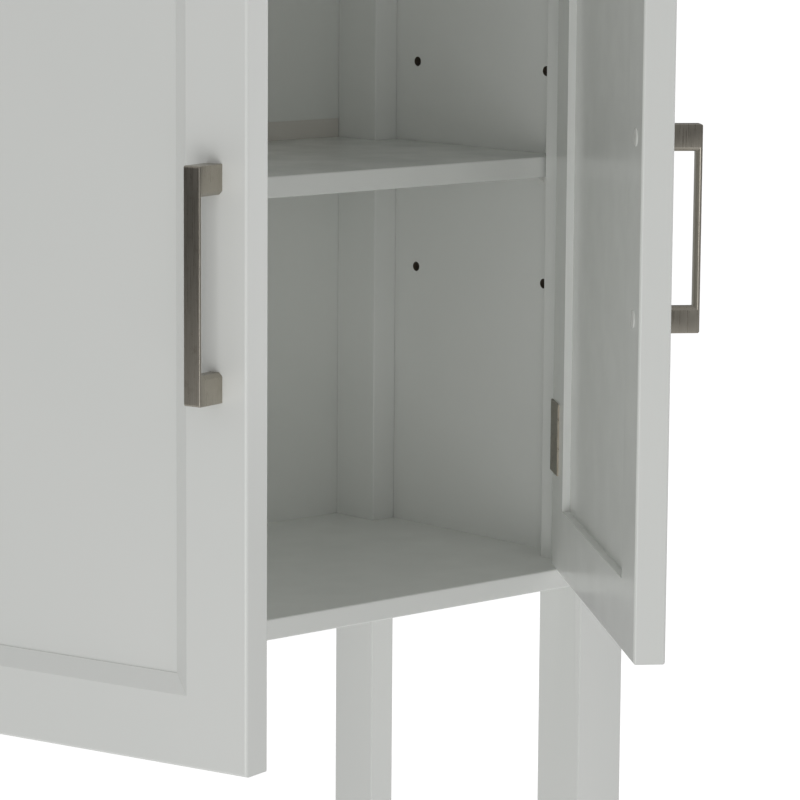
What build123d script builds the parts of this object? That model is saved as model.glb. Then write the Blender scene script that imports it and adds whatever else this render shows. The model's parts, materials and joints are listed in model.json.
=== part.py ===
from build123d import *
import os

os.makedirs("parts", exist_ok=True)

# A free-standing two-door cabinet on tall legs. Millimetres, +Z up, the front faces towards -Y.
# While it is modelled, X = 0 is the middle of the width, Y = 0 the front of the posts, Z = 0 the floor.

# Carcase
opening_width = 746.0  # between the two front posts
opening_height = 619.0  # cupboard floor to the underside of the top board
leg_clearance = 259.0  # floor to the underside of the bottom panel
post_size = 48.0  # front posts are square
rear_leg_width = 24.0
rear_leg_depth = 48.0
cabinet_depth = 302.0  # front of the posts to the back of the rear legs
side_panel_thickness = 16.0
bottom_thickness = 16.0
top_thickness = 20.0
top_overhang = 12.0  # at the front and at both sides
arris_radius = 1.2
top_edge_radius = 2.5
seat_clearance = 0.1  # play between a notch and the post that it goes round

# Back
back_thickness = 5.0
strip_height = 24.0
strip_flange = 1.2
strip_web = 1.0
strip_above_shelf = 15.5  # how far the joining strip shows above the shelf
nail_head_radius = 2.2
nail_radius = 0.7
nail_length = 18.0
nail_inset = 12.0
nail_spacing = 110.0

# Adjustable shelf and its supports
shelf_thickness = 16.5
shelf_clearance = 1.5  # all round
peg_height = 306.0  # middle row of peg holes above the cupboard floor
peg_row_spacing = 86.5
peg_front_inset = 25.0  # front column, behind the post
peg_rear_inset = 26.0  # rear column, in front of the rear leg
peg_radius = 3.95
peg_clearance = 0.05
peg_length = 9.0
peg_hole_depth = 10.5
support_width = 12.0
support_drop = 8.4  # height of the part under the shelf
support_reach = 11.0
support_wall = 2.2
support_rise = 3.5  # the shelf rests this far above the peg's axis

# Doors
door_thickness = 23.0
door_gap_hinge = 3.6
door_gap_middle = 3.0
door_gap_end = 2.5  # above and below each door
stile_front = 46.0  # flat face outside the moulding
moulding_width = 12.0
moulding_depth = 6.2
moulding_quirk = 0.8  # small step where the moulding meets the panel
stile_back = 52.0
panel_thickness = 10.0
groove_inner = 40.0  # from the door's edge to the bottom of the panel groove
panel_play = 1.0
door_edge_radius = 2.0
right_open = 55.0  # how far each door stands open at rest, degrees
left_open = 75.0

# Hinges: a leaf on the post, and a leaf that wraps the door's edge onto its back
hinge_height = 57.0
hinge_offset = 105.5  # middle of a hinge from the door's end
hinge_leaf = 1.4
knuckle_radius = 3.0
knuckle_face_gap = 0.4  # knuckle to the front face of the post
knuckle_end_gap = 0.15
hinge_pin_radius = 1.5
hinge_pin_clearance = 0.05
pin_head_radius = 2.4
pin_head_height = 1.4
frame_leaf_depth = 20.0
door_leaf_width = 32.0
leaf_screw_head = 2.7
leaf_screw_radius = 1.3
leaf_screw_length = 14.0
leaf_screw_spread = 20.0  # above and below the middle of the leaf
leaf_screw_near = 10.0
leaf_screw_far = 23.0
cross_width = 0.7
cross_length = 3.2
cross_depth = 0.7

# Handles
handle_spacing = 128.0  # between the two screws
handle_foot = 19.0  # height of each foot
handle_width = 12.0
handle_reach = 23.5
grip_thickness = 4.2
handle_edge = 24.4  # middle of the handle from the door's free edge
handle_bevel = 3.2
handle_corner = 1.4
handle_screw_radius = 2.0
handle_screw_head = 4.0
handle_screw_head_height = 2.6
handle_thread = 9.0  # depth in the foot
counterbore_radius = 4.9
counterbore_depth = 8.0
cap_radius = 6.4
cap_height = 0.9
cap_stem_radius = 4.8
cap_stem_length = 3.5
screw_clearance = 0.05

# Magnetic catches under the top board, one for each door
catch_width = 46.0
catch_depth = 15.0
catch_height = 13.0
catch_middle = 34.0  # from the middle of the cabinet
catch_gap = 0.4
magnet_width = 26.0
magnet_height = 8.0
magnet_depth = 6.0
catch_screw_spacing = 36.0
strike_width = 30.0
strike_height = 14.0
strike_thickness = 1.2
strike_drop = 1.5  # top of the strike below the top of the catch

# Knock-down fittings
dowel_radius = 4.0
dowel_length = 30.0
short_dowel = 22.0  # between a rear leg and its side panel
dowel_clearance = 0.05
dowel_edge = 90.0  # outer dowels from the ends of the side panel
cam_radius = 7.5
cam_height = 11.0
cam_setback = 24.0  # cam axis from the panel's edge
cam_slot = 1.6
cam_slot_depth = 1.5
bolt_radius = 3.0
bolt_bite = 11.0  # length in the mating panel
cam_inset_front = 95.0
cam_inset_rear = 95.0

# Feet
glide_radius = 10.0
glide_height = 3.0
glide_chamfer = 1.0
glide_nail_radius = 1.2
glide_nail_length = 14.0

half_opening = opening_width / 2
side_inner = half_opening + rear_leg_width
side_outer = side_inner + side_panel_thickness
post_outer = half_opening + post_size
rear_leg_front = cabinet_depth - rear_leg_depth
floor_z = leg_clearance + bottom_thickness
ceiling_z = floor_z + opening_height
side_mid_x = (side_inner + side_outer) / 2
shelf_bottom = floor_z + peg_height + support_rise
shelf_top = shelf_bottom + shelf_thickness
strip_top = shelf_top + strip_above_shelf
strip_middle = strip_top - strip_height / 2
door_width = half_opening - door_gap_hinge - door_gap_middle / 2
door_height = opening_height - 2 * door_gap_end
door_bottom = floor_z + door_gap_end
door_free_edge = door_gap_middle / 2
door_hinge_edge = half_opening - door_gap_hinge
axis_x = half_opening - door_gap_hinge / 2
axis_y = -knuckle_radius - knuckle_face_gap
hinge_middles = (door_bottom + hinge_offset, door_bottom + door_height - hinge_offset)
handle_x = door_free_edge + handle_edge
handle_middle = door_bottom + door_height / 2
handle_screw_zs = (handle_middle - handle_spacing / 2, handle_middle + handle_spacing / 2)
sides = (-1, 1)

nodes = {}


def block(x0, x1, y0, y1, z0, z1):
    """A box between two corners."""
    middle = ((x0 + x1) / 2, (y0 + y1) / 2, (z0 + z1) / 2)
    return Pos(*middle) * Box(abs(x1 - x0), abs(y1 - y0), abs(z1 - z0))


def rod(centre, direction, radius, length, seam=None):
    """A cylinder that starts at centre and runs along direction, with its seam line on a chosen side."""
    plane = Plane(origin=centre, x_dir=seam, z_dir=direction)
    return plane * Cylinder(radius, length, align=(Align.CENTER, Align.CENTER, Align.MIN))


def mirrored(shape):
    """The left-hand copy of a right-hand piece."""
    return mirror(shape, about=Plane.YZ)


def upright(x0, x1, y0, y1, z0, z1):
    """A post or leg with its four long edges eased."""
    body = block(x0, x1, y0, y1, z0, z1)
    return fillet(body.edges().filter_by(Axis.Z), arris_radius)


def cross_recess(centre, direction, width, length, depth):
    """The cutter of a cross recess whose mouth is at centre, facing along direction."""
    plane = Plane(origin=centre, z_dir=direction)
    low = (Align.CENTER, Align.CENTER, Align.MAX)
    one = Box(length, width, depth, align=low)
    two = Box(width, length, depth, align=low)
    return plane * (one + two)


def countersunk(centre, inward, head_radius, shank_radius, length):
    """A flat-head screw: its head is flush at centre, and it runs along inward."""
    plane = Plane(origin=centre, z_dir=inward)
    head_height = head_radius - shank_radius
    low = (Align.CENTER, Align.CENTER, Align.MIN)
    head = Cone(head_radius, shank_radius, head_height, align=low)
    shank = Cylinder(shank_radius, length - head_radius, align=low)
    tip = Pos(0, 0, length - head_radius) * Cone(shank_radius, shank_radius / 4, head_radius, align=low)
    screw = plane * (head + shank + tip)
    outward = tuple(-part for part in inward)
    return screw - cross_recess(centre, outward, cross_width, cross_length, cross_depth)


def countersunk_hole(centre, inward, head_radius, shank_radius, length):
    """The hole that a flat-head screw leaves, a little larger than the screw."""
    plane = Plane(origin=centre, z_dir=inward)
    low = (Align.CENTER, Align.CENTER, Align.MIN)
    wide = head_radius + screw_clearance
    narrow = shank_radius + screw_clearance
    return plane * (Cone(wide, narrow, wide - narrow, align=low) + Cylinder(narrow, length, align=low))


def leaf_screw(centre, inward):
    """One of the small screws of the hinges and strikes."""
    return countersunk(centre, inward, leaf_screw_head, leaf_screw_radius, leaf_screw_length)


def leaf_hole(centre, inward):
    """The hole of one of the small screws."""
    return countersunk_hole(centre, inward, leaf_screw_head, leaf_screw_radius, leaf_screw_length)


def joined(shapes):
    """Separate solids kept as one group."""
    return Compound(children=[solid for shape in shapes for solid in shape.solids()])


# ---- joints between the carcase panels -------------------------------------------------------------

side_height = ceiling_z - leg_clearance
dowel_levels = (leg_clearance + dowel_edge, leg_clearance + side_height / 2, ceiling_z - dowel_edge)
leg_mid_y = (rear_leg_front + cabinet_depth) / 2


def right_dowels():
    """Centre, direction and length of each wooden dowel on the right side."""
    found = []
    for level in dowel_levels:
        found.append(((side_mid_x, post_size - dowel_length / 2, level), (0, 1, 0), dowel_length))
        found.append(((side_inner - short_dowel / 2, leg_mid_y, level), (1, 0, 0), short_dowel))
    post_mid = half_opening + post_size / 2
    found.append(((post_mid, post_size / 2, ceiling_z - dowel_length * 2 / 3), (0, 0, 1), dowel_length))
    leg_mid = half_opening + rear_leg_width / 2
    found.append(((leg_mid, leg_mid_y, ceiling_z - dowel_length * 2 / 3), (0, 0, 1), dowel_length))
    return found


def right_cams():
    """Cam axis mouth, cam direction and bolt direction of each knock-down fitting on the right side."""
    found = []
    for y in (cam_inset_front, cabinet_depth - cam_inset_rear):
        found.append(((side_inner - cam_setback, y, leg_clearance), (0, 0, 1), (1, 0, 0)))
        found.append(((side_inner, y, ceiling_z - cam_setback), (1, 0, 0), (0, 0, 1)))
    return found


def cam_bolt_start(mouth, into, along, panel_thickness_here):
    """Where the bolt leaves its cam, on the middle plane of the panel that holds the cam."""
    half = panel_thickness_here / 2
    return tuple(m + i * half + a * cam_radius for m, i, a in zip(mouth, into, along))


def right_fitting_cutters():
    """Every hole that dowels, cams and their bolts need on the right side."""
    cutters = []
    for centre, direction, length in right_dowels():
        cutters.append(rod(centre, direction, dowel_radius + dowel_clearance, length))
    for mouth, into, along in right_cams():
        thickness = bottom_thickness if into[2] else side_panel_thickness
        centre = tuple(m + i * thickness / 2 for m, i in zip(mouth, into))
        far_side = tuple(-part for part in along)
        cutters.append(rod(mouth, into, cam_radius + screw_clearance, cam_height + screw_clearance, far_side))
        cutters.append(rod(centre, along, bolt_radius + screw_clearance, cam_setback + bolt_bite))
    return cutters


right_cutters = right_fitting_cutters()


def drilled(body):
    """The piece with the fitting holes of both sides cut where they meet it."""
    for cutter in right_cutters:
        for tool in (cutter, mirrored(cutter)):
            box = tool.bounding_box()
            own = body.bounding_box()
            apart = (
                box.min.X > own.max.X or box.max.X < own.min.X
                or box.min.Y > own.max.Y or box.max.Y < own.min.Y
                or box.min.Z > own.max.Z or box.max.Z < own.min.Z
            )
            if not apart:
                body = body - tool
    return body


def make_fittings():
    """Dowels, cams and cam bolts."""
    dowels = []
    cams = []
    bolts = []
    for centre, direction, length in right_dowels():
        pin = rod(centre, direction, dowel_radius, length)
        pin = chamfer(pin.edges().filter_by(GeomType.CIRCLE), dowel_radius / 5)
        dowels += [pin, mirrored(pin)]
    for mouth, into, along in right_cams():
        thickness = bottom_thickness if into[2] else side_panel_thickness
        bolt_length = cam_setback - cam_radius + bolt_bite
        start = cam_bolt_start(mouth, into, along, thickness)
        outward = tuple(-part for part in into)
        cam = rod(mouth, into, cam_radius, cam_height)
        cam = cam - cross_recess(mouth, outward, cam_slot, cam_radius * 4 / 3, cam_slot_depth)
        bolt = rod(start, along, bolt_radius, bolt_length)
        cams += [cam, mirrored(cam)]
        bolts += [bolt, mirrored(bolt)]
    nodes["wood_dowels"] = joined(dowels)
    nodes["cam_locks"] = joined(cams)
    nodes["cam_bolts"] = joined(bolts)


# ---- carcase ---------------------------------------------------------------------------------------


def glide_places():
    """The centre of each foot glide."""
    front = half_opening + post_size / 2
    rear = half_opening + rear_leg_width / 2
    places = [(side * front, post_size / 2) for side in sides]
    places += [(side * rear, leg_mid_y) for side in sides]
    return places


def glide_nail_holes():
    """Cutters for the glides' nails."""
    radius = glide_nail_radius + screw_clearance
    return [rod((x, y, glide_height), (0, 0, 1), radius, glide_nail_length) for x, y in glide_places()]


def make_posts():
    """Two square front posts and two narrower rear legs."""
    post = upright(half_opening, post_outer, 0, post_size, glide_height, ceiling_z)
    for middle in hinge_middles:
        for hole in frame_leaf_holes(middle):
            post = post - hole
    leg = upright(half_opening, side_inner, rear_leg_front, cabinet_depth, glide_height, ceiling_z)
    nail_holes = glide_nail_holes()
    for side, name in zip(sides, ("left", "right")):
        for kind, body in (("front_%s_post", post), ("rear_%s_leg", leg)):
            piece = body if side > 0 else mirrored(body)
            piece = drilled(piece)
            for hole in nail_holes + back_nail_holes():
                piece = piece - hole
            nodes[kind % name] = piece


def peg_columns():
    """Y of the two columns of peg holes."""
    return (post_size + peg_front_inset, rear_leg_front - peg_rear_inset)


def make_side_panels():
    """Each side panel stands behind its post and against the outer face of the rear leg."""
    panel = block(side_inner, side_outer, post_size, cabinet_depth, leg_clearance, ceiling_z)
    panel = panel.solid()
    for row in (-1, 0, 1):
        for y in peg_columns():
            z = floor_z + peg_height + row * peg_row_spacing
            panel = panel - rod((side_inner, y, z), (1, 0, 0), peg_radius + peg_clearance, peg_hole_depth)
    nodes["left_side_panel"] = drilled(mirrored(panel))
    nodes["right_side_panel"] = drilled(panel)


def make_bottom_panel():
    """Bottom panel: flush with the posts in front, notched round the posts and the rear legs."""
    panel = block(-side_inner, side_inner, 0, cabinet_depth, leg_clearance, floor_z)
    notch_x = half_opening - seat_clearance
    rear = rear_leg_front - seat_clearance
    low = leg_clearance - 1
    high = floor_z + 1
    for side in sides:
        reach = side * (side_inner + 1)
        panel = panel - block(side * notch_x, reach, -1, post_size, low, high)
        panel = panel - block(side * notch_x, reach, rear, cabinet_depth + 1, low, high)
    front = panel.edges().filter_by(Axis.X).filter_by_position(Axis.Y, -0.01, 0.01)
    nodes["bottom_panel"] = drilled(fillet(front, arris_radius))


def catch_screw_places():
    """The catch screws in the underside of the top board."""
    y = catch_front() + catch_depth * 0.6
    z = ceiling_z - catch_height
    places = []
    for side in sides:
        for end in sides:
            places.append((side * catch_middle + end * catch_screw_spacing / 2, y, z))
    return places


def make_top_board():
    """Top board: laid over the posts and panels, overhanging the front and both sides."""
    outer = post_outer + top_overhang
    back = cabinet_depth + back_thickness
    board = block(-outer, outer, -top_overhang, back, ceiling_z, ceiling_z + top_thickness)
    board = fillet(board.edges().filter_by(Axis.Z).sort_by(Axis.Y)[:2], top_edge_radius)
    shown = board.edges().filter_by_position(Axis.Y, -top_overhang - 1, back - 0.01)
    shown = [edge for edge in shown if edge.center().Y < back - 1 and abs(edge.tangent_at(0.5).Z) < 0.5]
    board = fillet(shown, top_edge_radius - 0.5)
    for x, y, z in catch_screw_places():
        board = board - rod((x, y, z), (0, 0, 1), leaf_screw_radius + screw_clearance, catch_screw_length())
    nodes["top_board"] = drilled(board)


def back_nail_places():
    """X and Z of the nails that hold the two back panels to the rear legs and the bottom panel."""
    places = []
    low = floor_z - bottom_thickness / 2
    count = int((ceiling_z - low) // nail_spacing)
    step = (ceiling_z - nail_inset - low) / count
    for side in sides:
        for index in range(count + 1):
            z = low + index * step
            if abs(z - strip_middle) > strip_height:
                places.append((side * (half_opening + nail_inset), z))
    return places


def back_nail_holes():
    """Cutters for the nails' shanks."""
    radius = nail_radius + screw_clearance
    y = cabinet_depth + back_thickness
    return [rod((x, y, z), (0, -1, 0), radius, nail_length) for x, z in back_nail_places()]


def make_back():
    """Two thin back panels, joined by an H-section strip and nailed to the rear legs."""
    rear = cabinet_depth + back_thickness
    upper = block(-side_outer, side_outer, cabinet_depth, rear, strip_middle, ceiling_z)
    lower = block(-side_outer, side_outer, cabinet_depth, rear, leg_clearance, strip_middle)
    half_strip = half_opening - shelf_clearance / 2
    web = block(-half_strip, half_strip, cabinet_depth, rear, -strip_web / 2, strip_web / 2)
    web = Pos(0, 0, strip_middle) * web
    low = strip_middle - strip_height / 2
    front = block(-half_strip, half_strip, cabinet_depth - strip_flange, cabinet_depth, low, strip_top)
    behind = block(-half_strip, half_strip, rear, rear + strip_flange, low, strip_top)
    nails = []
    for x, z in back_nail_places():
        head = rod((x, rear, z), (0, 1, 0), nail_head_radius, nail_radius)
        nails.append(head + rod((x, rear, z), (0, -1, 0), nail_radius, nail_length))
    holes = back_nail_holes()
    for name, panel in (("upper_back_panel", upper), ("lower_back_panel", lower)):
        panel = panel - web
        for hole in holes:
            panel = panel - hole
        nodes[name] = panel
    nodes["back_joining_strip"] = web + front + behind
    nodes["back_nails"] = joined(nails)


def make_glides():
    """A nylon glide nailed under each post and leg."""
    glides = []
    low = (Align.CENTER, Align.CENTER, Align.MIN)
    for x, y in glide_places():
        disc = Cylinder(glide_radius, glide_height, align=low)
        disc = chamfer(disc.edges().sort_by(Axis.Z)[:1], glide_chamfer)
        nail = Pos(0, 0, glide_height) * Cylinder(glide_nail_radius, glide_nail_length, align=low)
        glides.append(Pos(x, y, 0) * (disc + nail))
    nodes["foot_glides"] = joined(glides)


# ---- shelf -----------------------------------------------------------------------------------------


def make_shelf():
    """Loose shelf, notched round the rear legs, on four pegged supports."""
    half = side_inner - shelf_clearance
    front = post_size + shelf_clearance
    rear = cabinet_depth - strip_flange - shelf_clearance / 2
    board = block(-half, half, front, rear, shelf_bottom, shelf_top)
    notch_x = half_opening - shelf_clearance
    notch_y = rear_leg_front - shelf_clearance
    low = shelf_bottom - 1
    high = shelf_top + 1
    for side in sides:
        board = board - block(side * notch_x, side * (half + 1), notch_y, rear + 1, low, high)
    front_edges = board.edges().filter_by(Axis.X).filter_by_position(Axis.Y, front - 0.01, front + 0.01)
    nodes["adjustable_shelf"] = fillet(front_edges, arris_radius)


def make_supports():
    """Four plastic supports: a peg in the side panel, a ledge under the shelf and a gusset."""
    peg_z = shelf_bottom - support_rise
    low = shelf_bottom - support_drop
    supports = []
    for y in peg_columns():
        y0 = y - support_width / 2
        y1 = y + support_width / 2
        peg = rod((side_inner, y, peg_z), (1, 0, 0), peg_radius, peg_length)
        plate = block(side_inner - support_wall, side_inner, y0, y1, low, shelf_bottom)
        ledge_low = shelf_bottom - support_wall
        ledge = block(side_inner - support_reach, side_inner, y0, y1, ledge_low, shelf_bottom)
        gusset_points = [
            (side_inner, low),
            (side_inner, shelf_bottom),
            (side_inner - support_reach, shelf_bottom),
        ]
        outline = make_face(Polyline(gusset_points, close=True))
        middle = Plane(origin=(0, y, 0), x_dir=(1, 0, 0), z_dir=(0, -1, 0))
        gusset = extrude(middle * outline, support_wall / 2, both=True)
        support = peg + plate + ledge + gusset
        supports += [support, mirrored(support)]
    nodes["shelf_supports"] = joined(supports)


# ---- doors (made closed, right-hand) ---------------------------------------------------------------


def frame_section():
    """Section of a stile or rail: first value from the door's edge, second from its front face."""
    tip = stile_front + moulding_width
    shoulder = moulding_depth + moulding_quirk
    groove_back = shoulder + panel_thickness
    points = [
        (0, 0),
        (stile_front, 0),
        (tip, moulding_depth),
        (tip, shoulder),
        (groove_inner, shoulder),
        (groove_inner, groove_back),
        (stile_back, groove_back),
        (stile_back, door_thickness),
        (0, door_thickness),
    ]
    face = make_face(Polyline(points, close=True))
    corners = [point for point in face.vertices() if point.X < 0.01]
    return fillet(corners, door_edge_radius)


def mitred(length):
    """A member along Z from 0 to length, its edge at x = 0 and its front at y = 0, mitred at both ends."""
    member = extrude(frame_section(), length)
    reach = stile_back + moulding_width + 1
    for origin_z, slope in ((0, 1), (length, -1)):
        start = origin_z - slope
        corners = [(-1, start), (reach, start), (reach, origin_z + slope * reach)]
        outline = make_face(Polyline(corners, close=True))
        wedge = extrude(Plane.XZ * outline, door_thickness + 2, both=True)
        member = member - wedge
    return member


def door_member(which):
    """One of the four members of the right-hand door, in place and closed."""
    across = mitred(door_width)
    along = mitred(door_height)
    hinge_corner = Pos(door_hinge_edge, 0, door_bottom)
    free_corner = Pos(door_free_edge, 0, door_bottom)
    if which == "free_stile":
        return free_corner * along
    if which == "hinge_stile":
        return hinge_corner * mirror(along, about=Plane.YZ)
    if which == "bottom_rail":
        return free_corner * (Rot(0, 90, 0) * mirror(across, about=Plane.YZ))
    return Pos(door_free_edge, 0, door_bottom + door_height) * (Rot(0, 90, 0) * across)


def frame_leaf_holes(middle):
    """Screw holes of one frame leaf."""
    holes = []
    for end in sides:
        centre = (half_opening - hinge_leaf, leaf_screw_near, middle + end * leaf_screw_spread)
        holes.append(leaf_hole(centre, (1, 0, 0)))
    return holes


def door_leaf_screw_places(middle):
    """Screw places of one door leaf, on the back of the door."""
    y = door_thickness + hinge_leaf
    near = door_hinge_edge - leaf_screw_near
    far = door_hinge_edge - leaf_screw_far
    spread = leaf_screw_spread
    return [(near, y, middle - spread), (near, y, middle + spread), (far, y, middle)]


def knuckle(z0, z1, plate_x0, plate_x1):
    """A knuckle between two heights, with the tab that joins it to its leaf."""
    barrel = rod((axis_x, axis_y, z0), (0, 0, 1), knuckle_radius, z1 - z0)
    tab = block(plate_x0, plate_x1, axis_y, 0, z0, z1)
    bore = rod((axis_x, axis_y, z0 - 1), (0, 0, 1), hinge_pin_radius + hinge_pin_clearance, z1 - z0 + 2)
    return barrel + tab - bore


def frame_leaf(middle):
    """The leaf on the post, with the two end knuckles."""
    low = middle - hinge_height / 2
    high = middle + hinge_height / 2
    third = hinge_height / 3
    leaf = block(half_opening - hinge_leaf, half_opening, 0, frame_leaf_depth, low, high)
    for z0, z1 in ((low, low + third - knuckle_end_gap), (high - third + knuckle_end_gap, high)):
        leaf = leaf + knuckle(z0, z1, half_opening - hinge_leaf, half_opening)
    for hole in frame_leaf_holes(middle):
        leaf = leaf - hole
    return leaf


def door_leaf(middle):
    """The leaf that wraps the door's edge onto its back, with the middle knuckle."""
    low = middle - hinge_height / 2
    high = middle + hinge_height / 2
    third = hinge_height / 3
    outer = door_hinge_edge + hinge_leaf
    back = door_thickness + hinge_leaf
    edge_plate = block(door_hinge_edge, outer, 0, back, low, high)
    back_plate = block(door_hinge_edge - door_leaf_width, outer, door_thickness, back, low, high)
    leaf = edge_plate + back_plate
    gap = third + knuckle_end_gap
    leaf = leaf + knuckle(low + gap, high - gap, door_hinge_edge, outer)
    for place in door_leaf_screw_places(middle):
        leaf = leaf - leaf_hole(place, (0, -1, 0))
    return leaf


def hinge_pin(middle):
    """The pin, with a flat head at each end."""
    low = middle - hinge_height / 2
    pin = rod((axis_x, axis_y, low), (0, 0, 1), hinge_pin_radius, hinge_height)
    pin = pin + rod((axis_x, axis_y, low), (0, 0, -1), pin_head_radius, pin_head_height)
    return pin + rod((axis_x, axis_y, low + hinge_height), (0, 0, 1), pin_head_radius, pin_head_height)


def handle():
    """Squared bar handle: two feet and a flat grip, its window bevelled on both sides."""
    length = handle_spacing + handle_foot
    low = handle_middle - length / 2
    high = handle_middle + length / 2
    x0 = handle_x - handle_width / 2
    x1 = handle_x + handle_width / 2
    body = block(x0, x1, -handle_reach, 0, low, high)
    outer_edges = body.edges().filter_by(Axis.X).sort_by(Axis.Y)[:2]
    body = fillet(outer_edges, handle_corner)
    window_low = low + handle_foot
    window_high = high - handle_foot
    window_front = grip_thickness - handle_reach
    body = body - block(x0 - 1, x1 + 1, window_front, 1, window_low, window_high)
    for side in sides:
        face_x = x0 if side < 0 else x1
        wide = Plane(origin=(face_x, 0, 0), x_dir=(0, 1, 0), z_dir=(side, 0, 0))
        direction = 1 if side > 0 else -1
        mouth = window_rectangle(wide, direction, window_front, window_low, window_high, handle_bevel)
        depth = handle_bevel * 0.6
        deep = Plane(origin=(face_x - side * depth, 0, 0), x_dir=(0, 1, 0), z_dir=(side, 0, 0))
        throat = window_rectangle(deep, direction, window_front, window_low, window_high, 0)
        body = body - loft([throat, mouth])
    bore = handle_screw_radius + screw_clearance
    for z in handle_screw_zs:
        body = body - rod((handle_x, 0, z), (0, -1, 0), bore, handle_thread + 1)
    return body


def window_rectangle(plane, direction, front, low, high, grow):
    """The window's outline on a plane, grown by a margin at the grip and at both feet."""
    y0 = front - grow * 0.5
    y1 = 1.0
    z0 = low - grow
    z1 = high + grow
    points = [(y0, z0), (y1, z0), (y1, z1), (y0, z1)]
    corners = [Vector(plane.origin.X, y, z) for y, z in points]
    if direction < 0:
        corners.reverse()
    return make_face(Polyline(corners, close=True))


def handle_screw(z):
    """A pan-head screw from the bottom of its counterbore into the handle's foot."""
    seat = door_thickness - counterbore_depth
    head = rod((handle_x, seat, z), (0, 1, 0), handle_screw_head, handle_screw_head_height)
    rim = head.edges().filter_by(GeomType.CIRCLE).sort_by(Axis.Y)[-1:]
    head = fillet(rim, handle_screw_head_height / 3)
    crown = (handle_x, seat + handle_screw_head_height, z)
    head = head - cross_recess(crown, (0, 1, 0), cross_width, cross_length, cross_depth)
    return head + rod((handle_x, seat, z), (0, -1, 0), handle_screw_radius, seat + handle_thread)


def screw_cap(z):
    """A plastic cap over the counterbore."""
    disc = rod((handle_x, door_thickness, z), (0, 1, 0), cap_radius, cap_height)
    disc = fillet(disc.edges().filter_by(GeomType.CIRCLE).sort_by(Axis.Y)[-1:], cap_height * 0.8)
    return disc + rod((handle_x, door_thickness, z), (0, -1, 0), cap_stem_radius, cap_stem_length)


def catch_front():
    """Front face of a catch, just behind the closed door's strike."""
    return door_thickness + strike_thickness + catch_gap


def catch_screw_length():
    """A catch screw goes through the housing and most of the way through the top board."""
    return catch_height + top_thickness * 0.6


def strike_z():
    """Middle of the strikes and of the magnets."""
    return ceiling_z - strike_drop - strike_height / 2 - door_gap_end


def strike_plate():
    """Steel strike on the back of the door, facing the catch."""
    z = strike_z()
    x0 = catch_middle - strike_width / 2
    x1 = catch_middle + strike_width / 2
    half = strike_height / 2
    plate = block(x0, x1, door_thickness, door_thickness + strike_thickness, z - half, z + half)
    plate = fillet(plate.edges().filter_by(Axis.Y), arris_radius)
    return plate - strike_screw_hole()


def strike_screw_place():
    """The strike's one screw."""
    return (catch_middle, door_thickness + strike_thickness, strike_z())


def strike_screw_hole():
    """Hole of the strike's screw."""
    return leaf_hole(strike_screw_place(), (0, -1, 0))


def door_cutters():
    """Everything that is drilled in a door's frame."""
    cutters = []
    for z in handle_screw_zs:
        centre = (handle_x, door_thickness, z)
        bore = handle_screw_radius + screw_clearance
        cutters.append(rod(centre, (0, -1, 0), counterbore_radius, counterbore_depth))
        cutters.append(rod(centre, (0, -1, 0), bore, door_thickness))
    for middle in hinge_middles:
        for place in door_leaf_screw_places(middle):
            cutters.append(leaf_hole(place, (0, -1, 0)))
    cutters.append(strike_screw_hole())
    return cutters


def door_pieces():
    """Every piece of the right-hand door, closed, by name."""
    pieces = {}
    cutters = door_cutters()
    for which in ("hinge_stile", "free_stile", "top_rail", "bottom_rail"):
        member = door_member(which)
        for cutter in cutters:
            member = member - cutter
        pieces["door_" + which] = member
    margin = groove_inner + panel_play
    front = moulding_depth + moulding_quirk
    pieces["door_panel"] = block(
        door_free_edge + margin,
        door_hinge_edge - margin,
        front,
        front + panel_thickness,
        door_bottom + margin,
        door_bottom + door_height - margin,
    )
    pieces["hinge_door_leaves"] = joined([door_leaf(middle) for middle in hinge_middles])
    screws = []
    for middle in hinge_middles:
        for place in door_leaf_screw_places(middle):
            screws.append(leaf_screw(place, (0, -1, 0)))
    pieces["door_leaf_screws"] = joined(screws)
    pieces["handle"] = handle()
    pieces["handle_screws"] = joined([handle_screw(z) for z in handle_screw_zs])
    pieces["screw_caps"] = joined([screw_cap(z) for z in handle_screw_zs])
    pieces["strike_plate"] = strike_plate()
    pieces["strike_screw"] = leaf_screw(strike_screw_place(), (0, -1, 0))
    return pieces


def make_doors():
    """Both doors, swung open about their hinge pins."""
    pieces = door_pieces()
    swing = Pos(axis_x, axis_y, 0) * Rot(0, 0, right_open) * Pos(-axis_x, -axis_y, 0)
    swing_left = Pos(-axis_x, axis_y, 0) * Rot(0, 0, -left_open) * Pos(axis_x, -axis_y, 0)
    for name, piece in pieces.items():
        nodes["right_" + name] = swing * piece
        nodes["left_" + name] = swing_left * mirrored(piece)


def make_frame_hinges():
    """The parts of the hinges that stay with the posts."""
    leaves = joined([frame_leaf(middle) for middle in hinge_middles])
    pins = joined([hinge_pin(middle) for middle in hinge_middles])
    screws = []
    for middle in hinge_middles:
        for end in sides:
            place = (half_opening - hinge_leaf, leaf_screw_near, middle + end * leaf_screw_spread)
            screws.append(leaf_screw(place, (1, 0, 0)))
    screws = joined(screws)
    groups = {"hinge_frame_leaves": leaves, "hinge_pins": pins, "frame_leaf_screws": screws}
    for name, group in groups.items():
        nodes["right_" + name] = group
        nodes["left_" + name] = mirrored(group)


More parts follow.
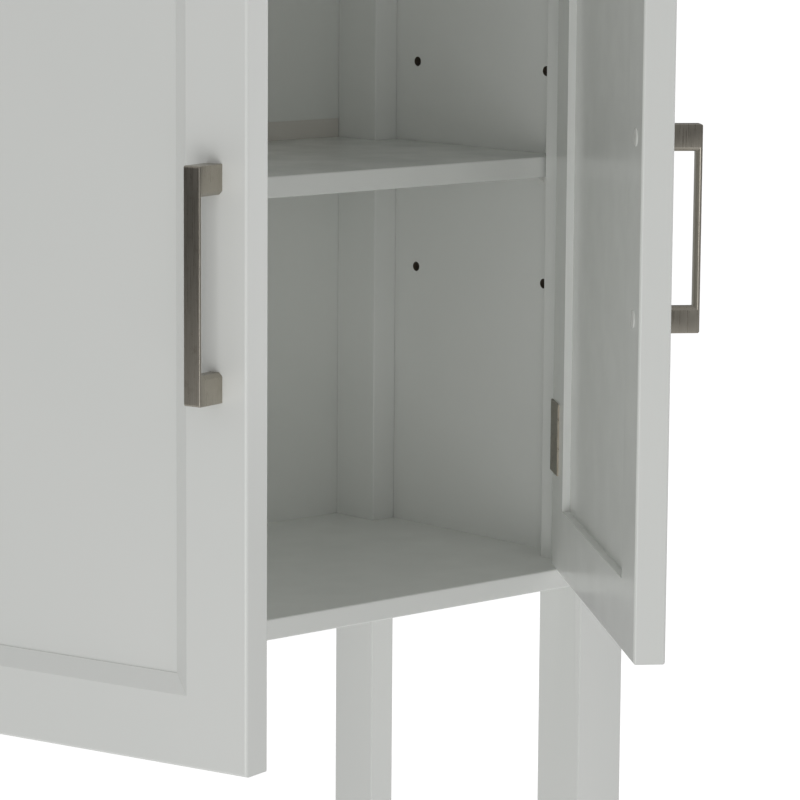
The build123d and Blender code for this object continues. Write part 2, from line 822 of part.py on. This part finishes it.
def make_catches():
    """Two magnetic catches under the top board."""
    housings = []
    magnets = []
    screws = []
    front = catch_front()
    for side in sides:
        x = side * catch_middle
        half = catch_width / 2
        low = ceiling_z - catch_height
        body = block(x - half, x + half, front, front + catch_depth, low, ceiling_z)
        body = fillet(body.edges().filter_by(Axis.Z), arris_radius)
        z = strike_z()
        half_magnet = magnet_width / 2
        rise = magnet_height / 2
        pocket = block(x - half_magnet, x + half_magnet, front, front + magnet_depth, z - rise, z + rise)
        housings.append(body - pocket)
        magnets.append(pocket)
    holes = []
    length = catch_screw_length()
    for place in catch_screw_places():
        holes.append(countersunk_hole(place, (0, 0, 1), leaf_screw_head, leaf_screw_radius, length))
        screws.append(countersunk(place, (0, 0, 1), leaf_screw_head, leaf_screw_radius, length))
    drilled_housings = []
    for body in housings:
        for hole in holes:
            body = body - hole
        drilled_housings.append(body)
    nodes["catch_housings"] = joined(drilled_housings)
    nodes["catch_magnets"] = joined(magnets)
    nodes["catch_screws"] = joined(screws)


def export_all():
    """Write every node with the origin on the floor, in the middle of the footprint at rest."""
    boxes = [shape.bounding_box() for shape in nodes.values()]
    middle_x = (min(box.min.X for box in boxes) + max(box.max.X for box in boxes)) / 2
    middle_y = (min(box.min.Y for box in boxes) + max(box.max.Y for box in boxes)) / 2
    low = min(box.min.Z for box in boxes)
    print("shift %.4f %.4f %.4f" % (-middle_x, -middle_y, -low))
    for side, name in zip(sides, ("left", "right")):
        print("%s hinge axis %.4f %.4f" % (name, side * axis_x - middle_x, axis_y - middle_y))
    for name, shape in nodes.items():
        export_step(Pos(-middle_x, -middle_y, -low) * shape, "parts/%s.step" % name)


make_posts()
make_side_panels()
make_bottom_panel()
make_top_board()
make_back()
make_glides()
make_fittings()
make_shelf()
make_supports()
make_frame_hinges()
make_catches()
make_doors()
export_all()
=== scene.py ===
import json
import math
import bmesh
import bpy
from mathutils import Matrix, Vector


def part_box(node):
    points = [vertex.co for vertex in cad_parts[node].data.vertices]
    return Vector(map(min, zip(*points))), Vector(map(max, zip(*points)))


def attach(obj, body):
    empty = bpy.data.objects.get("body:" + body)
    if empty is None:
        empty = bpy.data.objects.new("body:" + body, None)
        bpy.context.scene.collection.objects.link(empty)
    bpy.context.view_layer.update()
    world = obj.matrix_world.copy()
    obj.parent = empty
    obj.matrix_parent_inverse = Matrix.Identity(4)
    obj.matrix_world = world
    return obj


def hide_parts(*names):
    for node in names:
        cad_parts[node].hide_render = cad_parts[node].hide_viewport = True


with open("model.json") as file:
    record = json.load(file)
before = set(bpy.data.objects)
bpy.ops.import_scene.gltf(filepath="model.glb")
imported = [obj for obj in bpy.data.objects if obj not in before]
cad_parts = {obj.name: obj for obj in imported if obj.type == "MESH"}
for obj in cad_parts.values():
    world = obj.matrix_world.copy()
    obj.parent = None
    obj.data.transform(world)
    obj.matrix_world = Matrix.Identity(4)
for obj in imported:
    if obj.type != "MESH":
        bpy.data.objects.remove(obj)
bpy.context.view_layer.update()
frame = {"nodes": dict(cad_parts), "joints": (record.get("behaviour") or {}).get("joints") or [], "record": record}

nodes = frame["nodes"]
mm = 0.001
weld = 0.002 * mm  # doubles closer than this are one point
tiny = 1e-6

print("frame loaded", len(nodes), "pieces")


# node helpers
def addNode(tree, kind, x, y, **values):
    node = tree.nodes.new(kind)
    node.location = (x, y)
    for name, value in values.items():
        setattr(node, name, value)
    return node


def link(tree, source, target):
    tree.links.new(source, target)


def noiseTexture(tree, coords, scale, detail, rough, x, y, stretch=(1, 1, 1)):
    # a noise on Object coordinates, stretched by a Mapping node
    mapping = addNode(tree, "ShaderNodeMapping", x - 200, y)
    mapping.inputs["Scale"].default_value = stretch
    noise = addNode(tree, "ShaderNodeTexNoise", x, y)
    noise.inputs["Scale"].default_value = scale
    noise.inputs["Detail"].default_value = detail
    noise.inputs["Roughness"].default_value = rough
    link(tree, coords.outputs["Object"], mapping.inputs["Vector"])
    link(tree, mapping.outputs["Vector"], noise.inputs["Vector"])
    return noise


def remap(tree, source, low, high, toLow, toHigh, x, y):
    node = addNode(tree, "ShaderNodeMapRange", x, y)
    node.inputs["From Min"].default_value = low
    node.inputs["From Max"].default_value = high
    node.inputs["To Min"].default_value = toLow
    node.inputs["To Max"].default_value = toHigh
    link(tree, source, node.inputs["Value"])
    return node


def mixColours(tree, factor, first, second, x, y):
    # first and second are colours or sockets
    node = addNode(tree, "ShaderNodeMix", x, y, data_type="RGBA")
    link(tree, factor, node.inputs["Factor"])
    for value, socket in ((first, node.inputs[6]), (second, node.inputs[7])):
        if isinstance(value, tuple):
            socket.default_value = (*value, 1)
        else:
            link(tree, value, socket)
    return node.outputs[2]


def startMaterial(name):
    material = bpy.data.materials.new(name)
    material.use_nodes = True
    tree = material.node_tree
    shader = tree.nodes["Principled BSDF"]
    coords = addNode(tree, "ShaderNodeTexCoord", -1400, 0)
    return material, tree, shader, coords


def addBump(tree, shader, height, distance, strength, x, y, under=None):
    bump = addNode(tree, "ShaderNodeBump", x, y)
    bump.inputs["Distance"].default_value = distance
    bump.inputs["Strength"].default_value = strength
    link(tree, height, bump.inputs["Height"])
    if under:
        link(tree, under.outputs["Normal"], bump.inputs["Normal"])
    link(tree, bump.outputs["Normal"], shader.inputs["Normal"])
    return bump


# finishes, one look each
def edgeMask(tree, radius, x, y):
    # 0 on flat faces, rising towards an arris
    bevel = addNode(tree, "ShaderNodeBevel", x, y, samples=4)
    bevel.inputs["Radius"].default_value = radius
    geometry = addNode(tree, "ShaderNodeNewGeometry", x, y - 150)
    dot = addNode(tree, "ShaderNodeVectorMath", x + 200, y, operation="DOT_PRODUCT")
    link(tree, bevel.outputs["Normal"], dot.inputs[0])
    link(tree, geometry.outputs["Normal"], dot.inputs[1])
    return remap(tree, dot.outputs["Value"], 1.0, 0.8, 0.0, 1.0, x + 400, y)


def makePaint(name, look):
    # sprayed satin paint: faint mottle, orange peel, duller rubbed arrises
    material, tree, shader, coords = startMaterial(name)
    mottle = noiseTexture(tree, coords, look["mottleScale"], 4, 0.55, -1000, 300)
    factor = remap(tree, mottle.outputs["Fac"], 0.3, 0.7, 0, 1, -800, 300)
    colour = mixColours(tree, factor.outputs["Result"], look["cool"], look["warm"], -600, 300)
    worn = edgeMask(tree, look["wearRadius"], -1200, 700)
    patch = noiseTexture(tree, coords, look["wearScale"], 3, 0.6, -1000, 950)
    patchy = remap(tree, patch.outputs["Fac"], 0.45, 0.7, 0.1, look["wear"], -800, 950)
    wear = addNode(tree, "ShaderNodeMath", -550, 700, operation="MULTIPLY")
    link(tree, worn.outputs["Result"], wear.inputs[0])
    link(tree, patchy.outputs["Result"], wear.inputs[1])
    colour = mixColours(tree, wear.outputs["Value"], colour, look["worn"], -350, 400)
    link(tree, colour, shader.inputs["Base Color"])
    sheen = noiseTexture(tree, coords, look["sheenScale"], 3, 0.5, -1000, 0)
    rough = remap(tree, sheen.outputs["Fac"], 0.3, 0.7, look["roughLow"], look["roughHigh"], -800, 0)
    link(tree, rough.outputs["Result"], shader.inputs["Roughness"])
    shader.inputs["Specular IOR Level"].default_value = look["specular"]
    waves = noiseTexture(tree, coords, look["waveScale"], 2, 0.5, -1000, -300)
    broad = addBump(tree, shader, waves.outputs["Fac"], look["waveDepth"], 1.0, -500, -300)
    peel = noiseTexture(tree, coords, look["peelScale"], 2, 0.5, -1000, -600)
    addBump(tree, shader, peel.outputs["Fac"], look["peelDepth"], 1.0, -300, -500, under=broad)
    return material


paintLook = {
    "cool": (0.842, 0.858, 0.830),
    "warm": (0.854, 0.866, 0.838),
    "worn": (0.875, 0.870, 0.842),
    "mottleScale": 9.0,
    "wearRadius": 0.9 * mm,
    "wearScale": 60.0,
    "wear": 0.7,
    "sheenScale": 22.0,
    "roughLow": 0.17,
    "roughHigh": 0.24,
    "specular": 0.5,
    "waveScale": 45.0,
    "waveDepth": 0.012 * mm,
    "peelScale": 700.0,
    "peelDepth": 0.006 * mm,
}
cabinetPaint = makePaint("cabinetPaint", paintLook)


backLook = dict(paintLook)
backLook.update(cool=(0.842, 0.862, 0.828), warm=(0.858, 0.870, 0.838))
backLook.update(roughLow=0.42, roughHigh=0.5, peelScale=1100.0)
backPaint = makePaint("backSheetFilm", backLook)

stripLook = dict(paintLook)
stripLook.update(cool=(0.72, 0.695, 0.645), warm=(0.75, 0.725, 0.675), roughLow=0.45, roughHigh=0.55)
stripPlastic = makePaint("joiningStripPlastic", stripLook)


def makePlastic(name, look):
    # moulded plastic: even colour with a fine grain
    material, tree, shader, coords = startMaterial(name)
    tint = noiseTexture(tree, coords, look["tintScale"], 3, 0.5, -1000, 300)
    factor = remap(tree, tint.outputs["Fac"], 0.3, 0.7, 0, 1, -800, 300)
    colour = mixColours(tree, factor.outputs["Result"], look["dark"], look["light"], -600, 300)
    link(tree, colour, shader.inputs["Base Color"])
    rough = remap(tree, tint.outputs["Fac"], 0.3, 0.7, look["roughLow"], look["roughHigh"], -800, 0)
    link(tree, rough.outputs["Result"], shader.inputs["Roughness"])
    grain = noiseTexture(tree, coords, look["grainScale"], 2, 0.5, -1000, -300)
    addBump(tree, shader, grain.outputs["Fac"], look["grainDepth"], 1.0, -300, -300)
    return material


whitePlastic = makePlastic("whitePlastic", {
    "dark": (0.80, 0.81, 0.78), "light": (0.84, 0.84, 0.81), "tintScale": 150.0,
    "roughLow": 0.28, "roughHigh": 0.36, "grainScale": 1800.0, "grainDepth": 0.01 * mm,
})
nylon = makePlastic("nylon", {
    "dark": (0.62, 0.61, 0.56), "light": (0.70, 0.69, 0.64), "tintScale": 120.0,
    "roughLow": 0.40, "roughHigh": 0.5, "grainScale": 1500.0, "grainDepth": 0.02 * mm,
})
ferrite = makePlastic("ferrite", {
    "dark": (0.035, 0.034, 0.033), "light": (0.07, 0.068, 0.065), "tintScale": 400.0,
    "roughLow": 0.45, "roughHigh": 0.6, "grainScale": 2500.0, "grainDepth": 0.03 * mm,
})


def makeMetal(name, look):
    # plated metal with fine brush lines along one axis and dull specks
    material, tree, shader, coords = startMaterial(name)
    shader.inputs["Metallic"].default_value = 1.0
    lines = noiseTexture(tree, coords, look["lineScale"], 3, 0.6, -1000, 300, look["lineStretch"])
    factor = remap(tree, lines.outputs["Fac"], 0.35, 0.65, 0, 1, -800, 300)
    colour = mixColours(tree, factor.outputs["Result"], look["dark"], look["light"], -600, 300)
    specks = noiseTexture(tree, coords, look["speckScale"], 4, 0.7, -1000, 600)
    speckTo = look["speckFrom"] + 0.12
    dull = remap(tree, specks.outputs["Fac"], look["speckFrom"], speckTo, 0, look["specks"], -800, 600)
    colour = mixColours(tree, dull.outputs["Result"], colour, look["tarnish"], -350, 400)
    link(tree, colour, shader.inputs["Base Color"])
    rough = remap(tree, lines.outputs["Fac"], 0.3, 0.7, look["roughLow"], look["roughHigh"], -800, 0)
    link(tree, rough.outputs["Result"], shader.inputs["Roughness"])
    addBump(tree, shader, lines.outputs["Fac"], look["lineDepth"], 1.0, -300, -300)
    return material


# handle nickel: base colour set far below bare nickel, a painted dark reflection of dark surroundings on top of
# the metal's own brush lines and specks
nickel = makeMetal("brushedNickelDarkReflection", {
    "dark": (0.360, 0.334, 0.284), "light": (0.395, 0.368, 0.318), "tarnish": (0.27, 0.245, 0.20),
    "lineScale": 1400.0, "lineStretch": (1, 1, 0.03), "lineDepth": 0.004 * mm,
    "speckScale": 120.0, "speckFrom": 0.56, "specks": 0.45, "roughLow": 0.26, "roughHigh": 0.34,
})
hingeNickel = makeMetal("hingeNickel", {
    "dark": (0.27, 0.245, 0.20), "light": (0.38, 0.35, 0.29), "tarnish": (0.12, 0.11, 0.09),
    "lineScale": 700.0, "lineStretch": (1, 1, 0.1), "lineDepth": 0.02 * mm,
    "speckScale": 420.0, "speckFrom": 0.54, "specks": 0.7, "roughLow": 0.34, "roughHigh": 0.48,
})
zincPlate = makeMetal("zincPlate", {
    "dark": (0.50, 0.51, 0.52), "light": (0.62, 0.63, 0.64), "tarnish": (0.40, 0.40, 0.36),
    "lineScale": 500.0, "lineStretch": (1, 1, 1), "lineDepth": 0.01 * mm,
    "speckScale": 250.0, "speckFrom": 0.56, "specks": 0.5, "roughLow": 0.28, "roughHigh": 0.42,
})


def makeWood(name, look):
    material, tree, shader, coords = startMaterial(name)
    grain = noiseTexture(tree, coords, look["grainScale"], 5, 0.65, -1000, 300, look["grainStretch"])
    factor = remap(tree, grain.outputs["Fac"], 0.3, 0.7, 0, 1, -800, 300)
    colour = mixColours(tree, factor.outputs["Result"], look["dark"], look["light"], -600, 300)
    link(tree, colour, shader.inputs["Base Color"])
    shader.inputs["Roughness"].default_value = look["rough"]
    addBump(tree, shader, grain.outputs["Fac"], look["grainDepth"], 1.0, -300, -300)
    return material


dowelWood = makeWood("beechDowel", {
    "dark": (0.42, 0.26, 0.13), "light": (0.60, 0.42, 0.24),
    "grainScale": 400.0, "grainStretch": (1, 0.1, 1), "grainDepth": 0.05 * mm, "rough": 0.62,
})

print("finishes made", len(bpy.data.materials))

finishOfSlot = {
    "painted_board": cabinetPaint,
    "back_sheet": backPaint,
    "strip_plastic": stripPlastic,
    "white_plastic": whitePlastic,
    "nickel": nickel,
    "zinc": zincPlate,
    "dowel_wood": dowelWood,
    "nylon": nylon,
    "magnet": ferrite,
}


slotOfNode = {part["node"]: part["material_slot"] for part in frame["record"]["subparts"]}


def setFinish(node, finish):
    # a CAD node keeps its mesh and gets the finish through its object's slots
    piece = nodes[node]
    for slot in piece.material_slots:
        slot.link = "OBJECT"
        slot.material = finish


for node, slotName in slotOfNode.items():
    onHinge = ("hinge_" in node and "stile" not in node) or "leaf_screws" in node
    setFinish(node, hingeNickel if onHinge else finishOfSlot[slotName])

print("carried-over pieces painted")


# new pieces
def finishMesh(bm, name, finish, body, smooth=True):
    bmesh.ops.remove_doubles(bm, verts=bm.verts, dist=weld)
    bmesh.ops.recalc_face_normals(bm, faces=bm.faces)
    mesh = bpy.data.meshes.new(name)
    bm.to_mesh(mesh)
    bm.free()
    piece = bpy.data.objects.new(name, mesh)
    bpy.context.scene.collection.objects.link(piece)
    mesh.materials.append(finish)
    mesh.shade_smooth() if smooth else mesh.shade_flat()
    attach(piece, body)
    return piece


def softenedCopy(node, name, finish, body, look):
    # the CAD shape with its arrises eased, as a piece of its own
    bm = bmesh.new()
    bm.from_mesh(nodes[node].data)
    bmesh.ops.remove_doubles(bm, verts=bm.verts, dist=0.001 * mm)
    bmesh.ops.dissolve_limit(bm, angle_limit=math.radians(0.5), verts=bm.verts, edges=bm.edges)
    piece = finishMesh(bm, name, finish, body)
    ease = piece.modifiers.new("ease", "BEVEL")
    ease.width = look["ease"]
    ease.segments = look["segments"]
    ease.limit_method = "ANGLE"
    ease.angle_limit = math.radians(look["angle"])
    ease.harden_normals = True
    ease.use_clamp_overlap = True
    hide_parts(node)
    return piece


doorJoints = {joint["name"]: joint for joint in frame["joints"]}


def doorTurn(side):
    # how far and about which axis each door stands open at rest
    joint = doorJoints[side + "_door_hinge"]
    angle = -min(joint["range_deg"])
    return Matrix.Rotation(math.radians(angle), 4, Vector(joint["axis"]))


def easeEdges(bm, edges, offset, segments):
    bmesh.ops.bevel(bm, geom=edges, offset=offset, offset_type="OFFSET", affect="EDGES", segments=segments,
                    profile=0.5, material=-1, clamp_overlap=True)


handleLook = {
    "width": 12.0 * mm,
    "reach": 23.5 * mm,
    "grip": 4.2 * mm,
    "foot": 19.0 * mm,
    "flare": 2.5 * mm,  # how far the window's bevel runs out
    "corner": 1.4 * mm,
    "arris": 0.45 * mm,
    "sharpAngle": 28.0,
    "smoothAngle": 35.0,
}


def makeHandle(side, look):
    low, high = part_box(side + "_handle")
    centre = (low + high) / 2
    length = high.z - low.z
    half = length / 2
    bm = bmesh.new()
    # the grip's outline seen from the side, y towards the door
    front = -look["reach"] / 2
    rear = look["reach"] / 2
    inner = front + look["grip"]
    outline = [
        (front, -half), (rear, -half), (rear, -half + look["foot"]), (inner, -half + look["foot"]),
        (inner, half - look["foot"]), (rear, half - look["foot"]), (rear, half), (front, half),
    ]
    x = -look["width"] / 2
    verts = [bm.verts.new((x, y, z)) for y, z in outline]
    face = bm.faces.new(verts)
    grown = bmesh.ops.extrude_face_region(bm, geom=[face])
    moved = [item for item in grown["geom"] if isinstance(item, bmesh.types.BMVert)]
    bmesh.ops.translate(bm, verts=moved, vec=(look["width"], 0, 0))
    bmesh.ops.recalc_face_normals(bm, faces=bm.faces)
    bm.edges.ensure_lookup_table()

    def onWindow(edge):
        a, b = (vert.co for vert in edge.verts)
        middle = (a + b) / 2
        flat = abs(a.x - b.x) < tiny and abs(abs(a.x) - look["width"] / 2) < tiny
        beside = middle.y > inner - tiny and middle.y < rear - tiny and abs(middle.z) < half - tiny
        return flat and beside

    windowEdges = [edge for edge in bm.edges if onWindow(edge)]
    easeEdges(bm, windowEdges, look["flare"], 1)
    corners = [edge for edge in bm.edges if all(vert.co.y < front + tiny for vert in edge.verts)
               and abs(edge.verts[0].co.x - edge.verts[1].co.x) > 1e-4]
    easeEdges(bm, corners, look["corner"], 4)
    keen = math.radians(look["sharpAngle"])
    sharp = [edge for edge in bm.edges if edge.is_manifold and edge.calc_face_angle() > keen
             and not all(vert.co.y > rear - tiny for vert in edge.verts)]
    easeEdges(bm, sharp, look["arris"], 3)
    bmesh.ops.transform(bm, matrix=Matrix.Translation(centre) @ doorTurn(side), verts=bm.verts)
    piece = finishMesh(bm, side + "BarHandle", nickel, side + "_door")
    piece.data.set_sharp_from_angle(angle=math.radians(look["smoothAngle"]))
    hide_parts(side + "_handle")
    return piece


for side in ("left", "right"):
    makeHandle(side, handleLook)
print("handles made")


# side panels, with bare board inside the peg holes
rawBoard = makeWood("rawBoard", {
    "dark": (0.060, 0.048, 0.034), "light": (0.115, 0.092, 0.066),
    "grainScale": 900.0, "grainStretch": (1, 1, 1), "grainDepth": 0.05 * mm, "rough": 0.62,
})
holeLook = {"skin": 0.3 * mm, "margin": 1.0 * mm}


def makeSidePanel(side, look):
    node = side + "_side_panel"
    low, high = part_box(node)
    bm = bmesh.new()
    bm.from_mesh(nodes[node].data)
    bmesh.ops.remove_doubles(bm, verts=bm.verts, dist=weld)
    for face in bm.faces:
        middle = face.calc_center_median()
        inside = (low.x + look["skin"] < middle.x < high.x - look["skin"]
                  and low.y + look["margin"] < middle.y < high.y - look["margin"]
                  and low.z + look["margin"] < middle.z < high.z - look["margin"])
        face.material_index = 1 if inside else 0
    piece = finishMesh(bm, side + "SidePanel", cabinetPaint, "cabinet", smooth=False)
    piece.data.materials.append(rawBoard)
    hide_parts(node)
    return piece


for side in ("left", "right"):
    makeSidePanel(side, holeLook)
print("side panels made")


# painted boards with their sprayed arrises rounded over
boardLook = {"ease": 0.7 * mm, "segments": 3, "angle": 40.0}
boards = {
    "adjustable_shelf": "shelf", "front_left_post": "cabinet", "front_right_post": "cabinet",
    "rear_left_leg": "cabinet", "rear_right_leg": "cabinet",
}
for node, body in boards.items():
    softenedCopy(node, node + "Painted", cabinetPaint, body, boardLook)
print("boards eased")


capLook = {"radius": 6.4 * mm, "height": 0.9 * mm, "rim": 0.35 * mm, "steps": 48, "smoothAngle": 50.0}


def makeCaps(side, look):
    # a shallow dome spun about its own axis, one over each handle screw
    node = side + "_screw_caps"
    verts = nodes[node].data.vertices
    low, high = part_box(node)
    middle = (low.z + high.z) / 2
    turn = doorTurn(side)
    outward = turn @ Vector((0, 1, 0))
    bm = bmesh.new()
    for upper in (False, True):
        own = [vert.co for vert in verts if (vert.co.z > middle) == upper]
        face = max(co.dot(outward) for co in own)
        across = turn @ Vector((1, 0, 0))
        xs = [co.dot(across) for co in own]
        zs = [co.z for co in own]
        middleX = (min(xs) + max(xs)) / 2
        middleZ = (min(zs) + max(zs)) / 2
        centre = across * middleX + outward * face + Vector((0, 0, middleZ))
        r, h = look["radius"], look["height"]
        profile = [
            (0, 0), (r * 0.45, -h * 0.06), (r * 0.75, -h * 0.2), (r - look["rim"], -h * 0.45),
            (r, -h * 0.8), (r, -h), (r * 0.6, -h), (0, -h),
        ]
        points = [bm.verts.new((x, y, 0)) for x, y in profile]
        edges = [bm.edges.new((a, b)) for a, b in zip(points, points[1:])]
        bmesh.ops.spin(bm, geom=points + edges, cent=(0, 0, 0), axis=(0, 1, 0), angle=math.tau,
                       steps=look["steps"], use_merge=True)
        fresh = [vert for vert in bm.verts if not vert.tag]
        bmesh.ops.transform(bm, matrix=Matrix.Translation(centre) @ turn, verts=fresh)
        for vert in bm.verts:
            vert.tag = True
    piece = finishMesh(bm, side + "ScrewCaps", whitePlastic, side + "_door")
    piece.data.set_sharp_from_angle(angle=math.radians(look["smoothAngle"]))
    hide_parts(node)
    return piece


for side in ("left", "right"):
    makeCaps(side, capLook)
print("screw caps made")


# stage, light and camera
floorLook = {"size": 40.0, "drop": 0.2 * mm, "grey": 0.8, "rough": 0.9, "specular": 0.1, "glow": 0.72}


def addFloor(look):
    # the floor only shows; the world lights the cabinet
    material, tree, shader, coords = startMaterial("studioFloor")
    shader.inputs["Base Color"].default_value = (look["grey"], look["grey"], look["grey"], 1)
    shader.inputs["Roughness"].default_value = look["rough"]
    shader.inputs["Specular IOR Level"].default_value = look["specular"]
    shader.inputs["Emission Color"].default_value = (1, 1, 1, 1)
    shader.inputs["Emission Strength"].default_value = look["glow"]
    mesh = bpy.data.meshes.new("studioFloor")
    bm = bmesh.new()
    bmesh.ops.create_grid(bm, x_segments=1, y_segments=1, size=look["size"])
    bm.to_mesh(mesh)
    bm.free()
    mesh.materials.append(material)
    floor = bpy.data.objects.new("studioFloor", mesh)
    bpy.context.scene.collection.objects.link(floor)
    floor.location.z = -look["drop"]
    floor.visible_diffuse = False
    floor.visible_glossy = False
    floor.visible_shadow = False


addFloor(floorLook)

skyLook = {
    "front": {"below": 0.78, "level": 0.05, "above": 0.50},
    "behind": {"below": 0.70, "level": 0.08, "above": 0.45},
    "strength": 1.0,
}


def skyRamp(tree, height, look, y):
    # grey levels from straight down to straight up
    ramp = addNode(tree, "ShaderNodeValToRGB", -300, y)
    ramp.color_ramp.interpolation = "EASE"
    ramp.color_ramp.elements.new(0.5)
    for element, key in zip(ramp.color_ramp.elements, ("below", "level", "above")):
        element.color = (look[key], look[key], look[key], 1)
    link(tree, height.outputs["Result"], ramp.inputs["Fac"])
    return ramp.outputs["Color"]


def addWorld(look):
    # the sweep below and the room above, brighter or darker behind the cabinet
    world = bpy.data.worlds.new("studio")
    world.use_nodes = True
    tree = world.node_tree
    coords = addNode(tree, "ShaderNodeTexCoord", -900, 0)
    split = addNode(tree, "ShaderNodeSeparateXYZ", -700, 0)
    link(tree, coords.outputs["Generated"], split.inputs["Vector"])
    height = remap(tree, split.outputs["Z"], -0.6, 0.6, 0, 1, -500, 0)
    depth = remap(tree, split.outputs["Y"], -0.2, 0.2, 0, 1, -500, -300)
    front = skyRamp(tree, height, look["front"], 200)
    behind = skyRamp(tree, height, look["behind"], -200)
    colour = mixColours(tree, depth.outputs["Result"], front, behind, 0, 0)
    background = tree.nodes["Background"]
    background.inputs["Strength"].default_value = look["strength"]
    link(tree, colour, background.inputs["Color"])
    bpy.context.scene.world = world


addWorld(skyLook)


def addSoftbox(name, place, size, power):
    data = bpy.data.lights.new(name, "AREA")
    data.shape = "RECTANGLE"
    data.size, data.size_y = size
    data.energy = power
    light = bpy.data.objects.new(name, data)
    bpy.context.scene.collection.objects.link(light)
    light.location = place
    aim = Vector(lightTarget) - Vector(place)
    light.rotation_euler = aim.to_track_quat("-Z", "Y").to_euler()


lightTarget = (0.0, -0.15, 0.6)
addSoftbox("keySoftbox", (-2.99, -1.54, 0.60), (0.45, 1.4), 6)
addSoftbox("fillSoftbox", (-2.12, -2.68, 0.70), (1.2, 1.4), 6)
addSoftbox("lowSoftbox", (-2.36, -2.16, -0.33), (1.4, 1.2), 14)
addSoftbox("frontSoftbox", (1.13, -3.25, 0.60), (1.2, 1.4), 5)
addSoftbox("rightSoftbox", (3.19, -1.00, 0.60), (1.2, 1.4), 9)

view = bpy.context.scene.view_settings
view.view_transform = "Standard"
view.look = "None"

cameraLook = {
    "place": (-1.695836, -2.062704, 0.857990),
    "forward": (0.65968, 0.73614, -0.15137),
    "right": (0.74543, -0.66654, 0.00713),
    "focal": 3711.8,
    "frame": 800,
    "sensor": 36.0,
}


def addCamera(look):
    data = bpy.data.cameras.new("camera")
    data.sensor_width = look["sensor"]
    data.lens = look["sensor"] * look["focal"] / look["frame"]
    data.clip_start = 0.05
    camera = bpy.data.objects.new("camera", data)
    bpy.context.scene.collection.objects.link(camera)
    forward = Vector(look["forward"]).normalized()
    right = Vector(look["right"])
    right = (right - forward * right.dot(forward)).normalized()
    up = right.cross(forward)
    turn = Matrix((right, up, -forward)).transposed().to_4x4()
    camera.matrix_world = Matrix.Translation(look["place"]) @ turn
    bpy.context.scene.camera = camera


addCamera(cameraLook)
print("stage and camera set")
